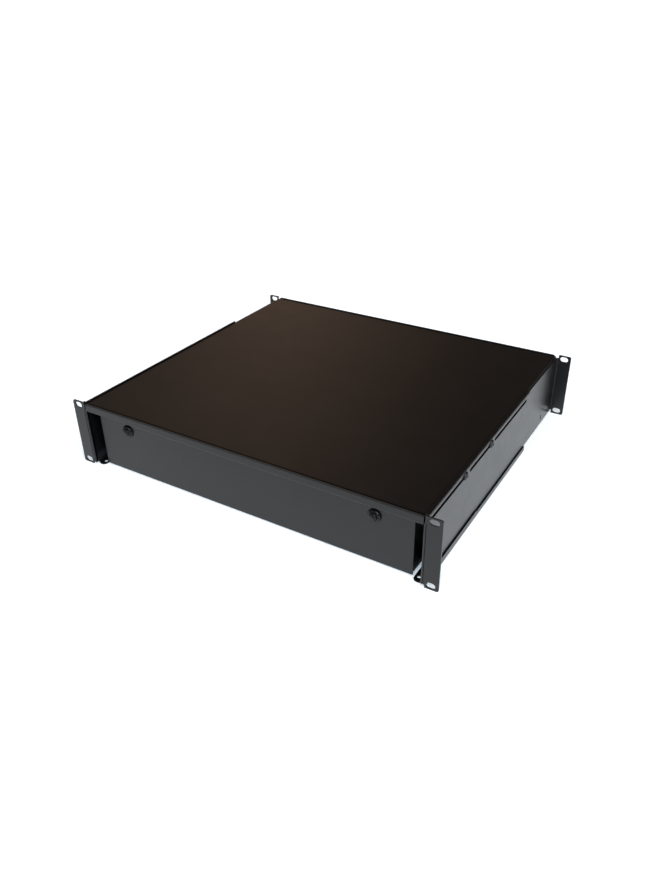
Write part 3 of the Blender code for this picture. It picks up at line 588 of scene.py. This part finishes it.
def build_splice_fittings():
    """Winding drums and fibre tabs in both trays, and the clips that hold the clear lid."""
    for level in ("lower", "upper"):
        low, high = node_box(f"splice_tray_{level}")
        drums = bmesh.new()
        for side in (-1, 1):
            centre = ((low.x + high.x) / 2 + side * DRUM_X, low.y + DRUM_Y, low.z + TRAY_FLOOR)
            add_turned(drums, centre, (0, 0, 1), in_metres(DRUM_PROFILE), steps=DRUM_STEPS, closed=True)
        new_piece(f"winding_drums_{level}", drums, "drawer", "tray_plastic")
        tabs = bmesh.new()
        bottom = high.z - TAB_BOTTOM
        top = high.z - TAB_TOP
        for x in TAB_LONG_SIDE:
            left = (x - TAB_HALF_WIDTH) * MM
            right = (x + TAB_HALF_WIDTH) * MM
            for edge, inward in ((low.y + TRAY_WALL, 1), (high.y - TRAY_WALL, -1)):
                y = sorted((edge, edge + inward * TAB_REACH))
                add_block(tabs, (left, y[0], bottom), (right, y[1], top), TAB_EDGE)
        for y in TAB_SHORT_SIDE:
            front = low.y + (y - TAB_HALF_WIDTH) * MM
            back = low.y + (y + TAB_HALF_WIDTH) * MM
            for edge, inward in ((low.x + TRAY_WALL, 1), (high.x - TRAY_WALL, -1)):
                x = sorted((edge, edge + inward * TAB_REACH))
                add_block(tabs, (x[0], front, bottom), (x[1], back, top), TAB_EDGE)
        new_piece(f"fibre_tabs_{level}", tabs, "drawer", "tray_plastic")
    low, high = node_box("splice_tray_lid")
    clips = bmesh.new()
    for x in LID_CLIP_X:
        left = (x - LID_CLIP_HALF_WIDTH) * MM
        right = (x + LID_CLIP_HALF_WIDTH) * MM
        for edge, outward in ((low.y, -1), (high.y, 1)):
            y = sorted((edge - outward * LID_CLIP_INWARD, edge + outward * LID_CLIP_OUTWARD))
            clip_low = (left, y[0], high.z + LID_CLIP_BOTTOM)
            clip_high = (right, y[1], high.z + LID_CLIP_TOP)
            add_block(clips, clip_low, clip_high, LID_CLIP_EDGE)
            y = sorted((edge + outward * LID_CLIP_GAP, edge + outward * LID_CLIP_OUTWARD))
            hook_low = (left, y[0], low.z - LID_CLIP_DROP)
            hook_high = (right, y[1], high.z + LID_CLIP_HOOK_TOP)
            add_block(clips, hook_low, hook_high, LID_CLIP_EDGE)
    new_piece("lid_clips", clips, "drawer", "rubber_black")


# Earth stud, nut and washer, in millimetres.
STUD_HEAD = 4.0
STUD_ROOT = ((0.0, 0.0), (5.0, 0.0), (5.5, 0.5), (5.5, STUD_HEAD), (2.6, STUD_HEAD))
THREAD_PITCH = 0.8
THREAD_TURN = ((2.55, 0.1), (2.98, 0.45), (2.98, 0.55))
THREAD_RUN_OUT = 1.2
STUD_TIP = ((2.5, 0.6), (2.1, 0.0), (0.0, 0.0))
NUT_BORE = 3.35
NUT_CHAMFER_RADIUS = 4.9
NUT_CORNER_RADIUS = 5.8
NUT_CHAMFER = 0.55
NUT_HALF_FLATS = 5.0
NUT_STEPS = 48
WASHER_GAP = 0.1
WASHER_PROFILE = ((3.2, 0.0), (6.4, 0.0), (6.6, 0.2), (6.6, 0.9), (3.2, 1.0))


def build_earth_stud():
    """Threaded earth stud and a chamfered nut, in place of their plain solids, and a washer."""
    low, high = node_box("ground_stud")
    centre = (low + high) / 2
    root = Vector((centre.x, low.y, centre.z))
    length = (high.y - low.y) / MM
    profile = list(STUD_ROOT)
    turns = int((length - STUD_HEAD - THREAD_RUN_OUT) / THREAD_PITCH)
    for number in range(turns):
        start = STUD_HEAD + number * THREAD_PITCH
        profile += [(radius, start + rise) for radius, rise in THREAD_TURN]
    profile += [(radius, length - below) for radius, below in STUD_TIP]
    stud = bmesh.new()
    add_turned(stud, root, (0, 1, 0), in_metres(profile))
    item = new_piece("earth_stud_threaded", stud, "drawer", "brass")
    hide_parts("ground_stud")
    low, high = node_box("ground_nut")
    seat = Vector((centre.x, low.y, centre.z))
    thick = (high.y - low.y) / MM
    nut = bmesh.new()
    profile = (
        (NUT_BORE, 0.0), (NUT_CHAMFER_RADIUS, 0.0), (NUT_CORNER_RADIUS, NUT_CHAMFER),
        (NUT_CORNER_RADIUS, thick - NUT_CHAMFER), (NUT_CHAMFER_RADIUS, thick), (NUT_BORE, thick),
    )
    add_turned(nut, seat, (0, 1, 0), in_metres(profile), steps=NUT_STEPS, closed=True)
    for vert in nut.verts:
        offset = vert.co - seat
        angle = math.atan2(offset.z, offset.x) % (math.pi / 3) - math.pi / 6
        reach = math.hypot(offset.x, offset.z)
        limit = NUT_HALF_FLATS * MM / math.cos(angle)
        if reach > limit:
            vert.co.x = seat.x + offset.x * limit / reach
            vert.co.z = seat.z + offset.z * limit / reach
    item = new_piece("earth_nut_hex", nut, "drawer", "brass")
    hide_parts("ground_nut")
    washer = bmesh.new()
    far = seat + Vector((0, (thick + WASHER_GAP) * MM, 0))
    add_turned(washer, far, (0, 1, 0), in_metres(WASHER_PROFILE), closed=True)
    new_piece("earth_washer", washer, "drawer", "zinc_steel")


# Telescopic slides: screws on the inner members, and balls in the middle members' races.
SLIDE_SCREW_PLACES = (0.08, 0.36, 0.66, 0.93)
SLIDE_SCREW_SEAT = 1.25 * MM
SLIDE_SCREW = (3.4 * MM, 1.3 * MM)
BALL_COUNT = 18
BALL_START = 14.0 * MM
BALL_SPACING = 6.5 * MM
BALL_RADIUS = 0.42 * MM
BALL_INSET = 0.6 * MM
RACE_THICKNESS = 1.2 * MM


def build_slide_screws():
    """Pan-head screws along the inner slide members."""
    for side, sign in SIDES:
        low, high = node_box(f"slide_inner_{side}")
        face = (high.x if sign < 0 else low.x) + sign * SLIDE_SCREW_SEAT
        heads = bmesh.new()
        for share in SLIDE_SCREW_PLACES:
            y = low.y + share * (high.y - low.y)
            add_screw_head(heads, (face, y, (low.z + high.z) / 2), (sign, 0, 0), *SLIDE_SCREW)
        new_piece(f"slide_screws_{side}", heads, "drawer", "zinc_steel")


def build_slide_balls():
    """Bearing balls in both races of each middle slide member."""
    for side, sign in SIDES:
        low, high = node_box(f"slide_middle_{side}")
        inner_low, inner_high = node_box(f"slide_inner_{side}")
        x = (low.x + high.x) / 2 - sign * BALL_INSET
        balls = bmesh.new()
        for edge, inner_edge in ((low.z, inner_low.z), (high.z, inner_high.z)):
            inside = edge + math.copysign(RACE_THICKNESS, inner_edge - edge)
            z = (inside + inner_edge) / 2
            for number in range(BALL_COUNT):
                place = Matrix.Translation((x, low.y + BALL_START + number * BALL_SPACING, z))
                bmesh.ops.create_icosphere(balls, subdivisions=2, radius=BALL_RADIUS, matrix=place)
        new_piece(f"slide_balls_{side}", balls, f"slide_middle_{side}", "zinc_steel")


# Housing hardware.
WEB_OUTER_FACE = 225.5 * MM
DEPTH_WASHER_PROFILE = ((2.2, 0.03), (5.2, 0.03), (5.3, 0.14), (5.2, 0.27), (2.2, 0.27))
DEPTH_WASHER_STEPS = 32
RAIL_SCREW_PLACES = (0.06, 0.35, 0.65, 0.94)
RAIL_SCREW_DROP = 7.0 * MM
RAIL_SCREW = (2.9 * MM, 1.5 * MM)
UPSTAND_BOTTOM = -0.4 * MM
UPSTAND_TOP = 1.2 * MM
UPSTAND_END = 1.0 * MM
UPSTAND_FRONT = 1.6 * MM
UPSTAND_BACK = 0.1 * MM
UPSTAND_EDGE = 0.35 * MM


def build_depth_washers():
    """Thin washer under the head of each depth screw."""
    for side, sign in SIDES:
        for number in (1, 2):
            low, high = node_box(f"depth_screw_{side}_{number}")
            centre = (WEB_OUTER_FACE * sign, (low.y + high.y) / 2, (low.z + high.z) / 2)
            profile = in_metres(DEPTH_WASHER_PROFILE)
            washer = bmesh.new()
            add_turned(washer, centre, (sign, 0, 0), profile, steps=DEPTH_WASHER_STEPS, closed=True)
            new_piece(f"depth_washer_{side}_{number}", washer, f"rear_bracket_{side}", "screw_black")


def build_rail_screws():
    """Screws along the rear rail."""
    low, high = node_box("rear_rail")
    screws = bmesh.new()
    for share in RAIL_SCREW_PLACES:
        x = low.x + share * (high.x - low.x)
        add_screw_head(screws, (x, high.y, high.z - RAIL_SCREW_DROP), (0, 1, 0), *RAIL_SCREW)
    new_piece("rear_rail_screws", screws, "frame", "screw_black")


def build_rear_upstand():
    """Narrow upstanding lip along the top's rear edge, just below the tops of the ears."""
    low, high = node_box("rear_rail")
    top = node_box("housing_cover")[1].z
    lip = bmesh.new()
    lip_low = (low.x + UPSTAND_END, high.y - UPSTAND_FRONT, top + UPSTAND_BOTTOM)
    lip_high = (high.x - UPSTAND_END, high.y - UPSTAND_BACK, top + UPSTAND_TOP)
    add_block(lip, lip_low, lip_high, UPSTAND_EDGE)
    new_piece("rear_upstand", lip, "frame", "powder_black")


# Latches: knurled ring nut behind the door and a domed knob in front.
RING_NUT_SEAT = 1.6 * MM
RING_NUT_PROFILE = ((3.6, 0.0), (5.6, 0.0), (5.9, 0.3), (5.9, 1.4), (5.6, 1.7), (3.6, 1.7))
RING_NUT_STEPS = 36
KNURL_COUNT = 24
KNURL_LOW = (5.7 * MM, 0.25 * MM, -0.3 * MM)
KNURL_HIGH = (6.2 * MM, 1.45 * MM, 0.3 * MM)
KNURL_EDGE = 0.12 * MM
KNOB_STEM = 2.2 * MM
KNOB_STEM_CHAMFER = 0.4 * MM
KNOB_HEAD_BACK = 3.2 * MM
KNOB_HEAD_CHAMFER = (0.5 * MM, 0.1 * MM)
KNOB_HEAD_EDGE = 2.8 * MM
KNOB_CROWN = 2.3 * MM
KNOB_STEPS = 40
CROWN_STEPS = 12
CROWN_STEP_ANGLE = 7.5


def build_latch_nuts():
    """Knurled ring nut that holds each latch sleeve behind the door."""
    door_front = node_box("door")[0].y
    for side, _ in SIDES:
        low, high = node_box(f"latch_sleeve_{side}")
        centre = ((low.x + high.x) / 2, door_front + RING_NUT_SEAT, (low.z + high.z) / 2)
        nut = bmesh.new()
        add_turned(nut, centre, (0, 1, 0), in_metres(RING_NUT_PROFILE), steps=RING_NUT_STEPS, closed=True)
        for step in range(KNURL_COUNT):
            turn = Matrix.Rotation(2 * math.pi * step / KNURL_COUNT, 4, "Y")
            add_block(nut, KNURL_LOW, KNURL_HIGH, KNURL_EDGE, 1, Matrix.Translation(centre) @ turn)
        new_piece(f"latch_nut_{side}", nut, "door", "knob_black")


def build_pull_knobs():
    """Domed pull knobs in place of the plain plungers."""
    for side, _ in SIDES:
        low, high = node_box(f"latch_plunger_{side}")
        root = Vector(((low.x + high.x) / 2, high.y, (low.z + high.z) / 2))
        length = high.y - low.y
        head = (high.x - low.x) / 2
        profile = [
            (0.0, 0.0),
            (KNOB_STEM - KNOB_STEM_CHAMFER, 0.0),
            (KNOB_STEM, KNOB_STEM_CHAMFER),
            (KNOB_STEM, length - KNOB_HEAD_BACK),
            (head - KNOB_HEAD_CHAMFER[0], length - KNOB_HEAD_BACK),
            (head - KNOB_HEAD_CHAMFER[1], length - KNOB_HEAD_EDGE),
        ]
        for step in range(CROWN_STEPS):
            angle = math.radians(90 - CROWN_STEP_ANGLE * step)
            rise = KNOB_CROWN * math.cos(angle)
            profile.append((head * math.sin(angle), length - KNOB_CROWN + rise))
        profile.append((0.0, length))
        knob = bmesh.new()
        add_turned(knob, root, (0, -1, 0), profile, steps=KNOB_STEPS)
        item = new_piece(f"pull_knob_{side}", knob, f"latch_{side}", "knob_black")
        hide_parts(f"latch_plunger_{side}")


# Rivets through the feet of the adapter panel and the cable anchor, in millimetres.
RIVET_PROFILE = ((0.0, 0.9), (1.0, 0.78), (1.8, 0.4), (2.1, 0.0), (0.0, 0.0))
RIVET_STEPS = 16
RIVET_INSET = 5.5 * MM
PANEL_RIVETS = (-165, -100, -35, 35, 100, 165)
ANCHOR_RIVETS = (-150, -50, 50, 150)


def build_drawer_rivets():
    """Domed rivets that hold the adapter panel and the cable anchor to the drawer's floor."""
    rivets = bmesh.new()
    dome = in_metres(RIVET_PROFILE)
    low, high = node_box("adapter_panel")
    for x in PANEL_RIVETS:
        seat = (x * MM, high.y - RIVET_INSET, low.z + SHEET_THICKNESS)
        add_turned(rivets, seat, (0, 0, 1), dome, steps=RIVET_STEPS)
    low, high = node_box("cable_anchor")
    for x in ANCHOR_RIVETS:
        seat = (x * MM, low.y + RIVET_INSET, low.z + SHEET_THICKNESS)
        add_turned(rivets, seat, (0, 0, 1), dome, steps=RIVET_STEPS)
    new_piece("drawer_rivets", rivets, "drawer", "zinc_steel")


# ---------------------------------------------------------------- studio

def matt_stage_material(name, grey, glow, strength):
    """Matt grey that also glows."""
    material, tree, shader = new_material(name)
    shader.inputs["Base Color"].default_value = (grey, grey, grey, 1.0)
    shader.inputs["Specular IOR Level"].default_value = 0.0
    shader.inputs["Emission Color"].default_value = (*glow, 1.0)
    shader.inputs["Emission Strength"].default_value = strength
    return material, shader


def build_floor():
    """Pale floor with a white backdrop far away, which lights nothing and is not mirrored in the box."""
    floor = spun_stage("floor", ((0.0, 0.0), (FLOOR_RADIUS, 0.0)))
    material, shader = matt_stage_material("floor_white", FLOOR_GREY, FLOOR_GLOW, FLOOR_GLOW_STRENGTH)
    shader.inputs["Roughness"].default_value = 0.9
    floor.data.materials.append(material)
    rise = ((FLOOR_RADIUS - 0.2, 0.0), (FLOOR_RADIUS, BACKDROP_HEIGHT / 3), (FLOOR_RADIUS, BACKDROP_HEIGHT))
    backdrop = spun_stage("floor_rim", rise)
    material, shader = matt_stage_material("rim_white", 0.0, (1.0, 1.0, 1.0), BACKDROP_GLOW_STRENGTH)
    shader.inputs["Roughness"].default_value = 1.0
    backdrop.data.materials.append(material)
    backdrop.visible_glossy = False
    backdrop.visible_diffuse = False
    backdrop.visible_shadow = False


def spun_stage(name, profile):
    """Stage surface turned about the upright axis from (radius, height) pairs."""
    bm = bmesh.new()
    rings = []
    for radius, height in profile:
        ring = []
        for step in range(FLOOR_STEPS):
            angle = 2 * math.pi * step / FLOOR_STEPS
            ring.append(bm.verts.new((radius * math.cos(angle), radius * math.sin(angle), height)))
            if radius == 0.0:
                break
        rings.append(ring)
    for inner, outer in zip(rings, rings[1:]):
        for step in range(FLOOR_STEPS):
            after = (step + 1) % FLOOR_STEPS
            corners = [outer[step], outer[after]]
            corners += [inner[0]] if len(inner) == 1 else [inner[after], inner[step]]
            bm.faces.new(corners)
    mesh = bpy.data.meshes.new(name)
    bm.to_mesh(mesh)
    bm.free()
    item = bpy.data.objects.new(name, mesh)
    bpy.context.scene.collection.objects.link(item)
    return item


def add_sun(name, direction, strength, angle, colour):
    light = bpy.data.lights.new(name, "SUN")
    light.energy = strength
    light.angle = math.radians(angle)
    light.color = colour
    lamp = bpy.data.objects.new(name, light)
    lamp.rotation_euler = Vector(direction).to_track_quat("Z", "Y").to_euler()
    bpy.context.scene.collection.objects.link(lamp)


def add_softbox(name, place, aim, size, power, colour):
    light = bpy.data.lights.new(name, "AREA")
    light.shape = "DISK"
    light.size = size
    light.energy = power
    light.color = colour
    lamp = bpy.data.objects.new(name, light)
    lamp.location = place
    lamp.rotation_euler = (Vector(place) - Vector(aim)).to_track_quat("Z", "Y").to_euler()
    bpy.context.scene.collection.objects.link(lamp)


def build_world():
    """Dim warm room, brightest to the rear left."""
    world = bpy.data.worlds.new("studio")
    world.use_nodes = True
    tree = world.node_tree
    place = add(tree, "ShaderNodeTexCoord")
    split = add(tree, "ShaderNodeSeparateXYZ")
    tree.links.new(place.outputs["Generated"], split.inputs["Vector"])
    sideways = spread(tree, split.outputs["X"], -1.0, 1.0, 0.0, 1.0)
    colour = ramp(tree, sideways, [((x + 1) / 2, shade) for x, shade in ROOM])
    tree.links.new(colour, tree.nodes["Background"].inputs["Color"])
    bpy.context.scene.world = world


def build_lights():
    add_sun("key", (0.45, -0.50, 0.80), 2.4, 60.0, (1.0, 0.995, 0.985))
    add_sun("fill", (-0.45, -0.35, 0.80), 0.8, 70.0, (0.95, 0.98, 1.0))
    add_softbox("side", (0.62, -0.45, 0.50), (0.30, -0.18, 0.0), 0.4, 1.6, (0.95, 0.98, 1.0))
    build_world()


def build_camera():
    azimuth = math.radians(CAMERA_AZIMUTH)
    elevation = math.radians(CAMERA_ELEVATION)
    roll = math.radians(CAMERA_ROLL)
    back = Vector((
        math.sin(azimuth) * math.cos(elevation),
        -math.cos(azimuth) * math.cos(elevation),
        math.sin(elevation),
    ))
    right = (-back).cross(Vector((0, 0, 1))).normalized()
    up = back.cross(right)
    right, up = (
        math.cos(roll) * right + math.sin(roll) * up,
        math.cos(roll) * up - math.sin(roll) * right,
    )
    camera = bpy.data.cameras.new("camera")
    camera.lens = CAMERA_LENS
    camera.sensor_width = CAMERA_SENSOR
    camera.clip_start = 0.01
    camera.clip_end = 100.0
    rig = bpy.data.objects.new("camera", camera)
    place = Matrix.Translation((Vector(CAMERA_TARGET) + back * CAMERA_DISTANCE) * MM)
    rig.matrix_world = place @ Matrix((right, up, back)).transposed().to_4x4()
    bpy.context.scene.collection.objects.link(rig)
    bpy.context.scene.camera = rig


def set_view():
    view = bpy.context.scene.view_settings
    view.view_transform = "Standard"
    view.look = "None"
    view.exposure = 0.0
    view.gamma = 1.0


dress_cad_nodes()
build_adapter_fittings()
build_label_strips()
build_spool_fittings()
build_splice_fittings()
build_earth_stud()
build_slide_screws()
build_slide_balls()
build_depth_washers()
build_rail_screws()
build_rear_upstand()
build_latch_nuts()
build_pull_knobs()
build_drawer_rivets()
build_floor()
build_lights()
build_camera()
set_view()
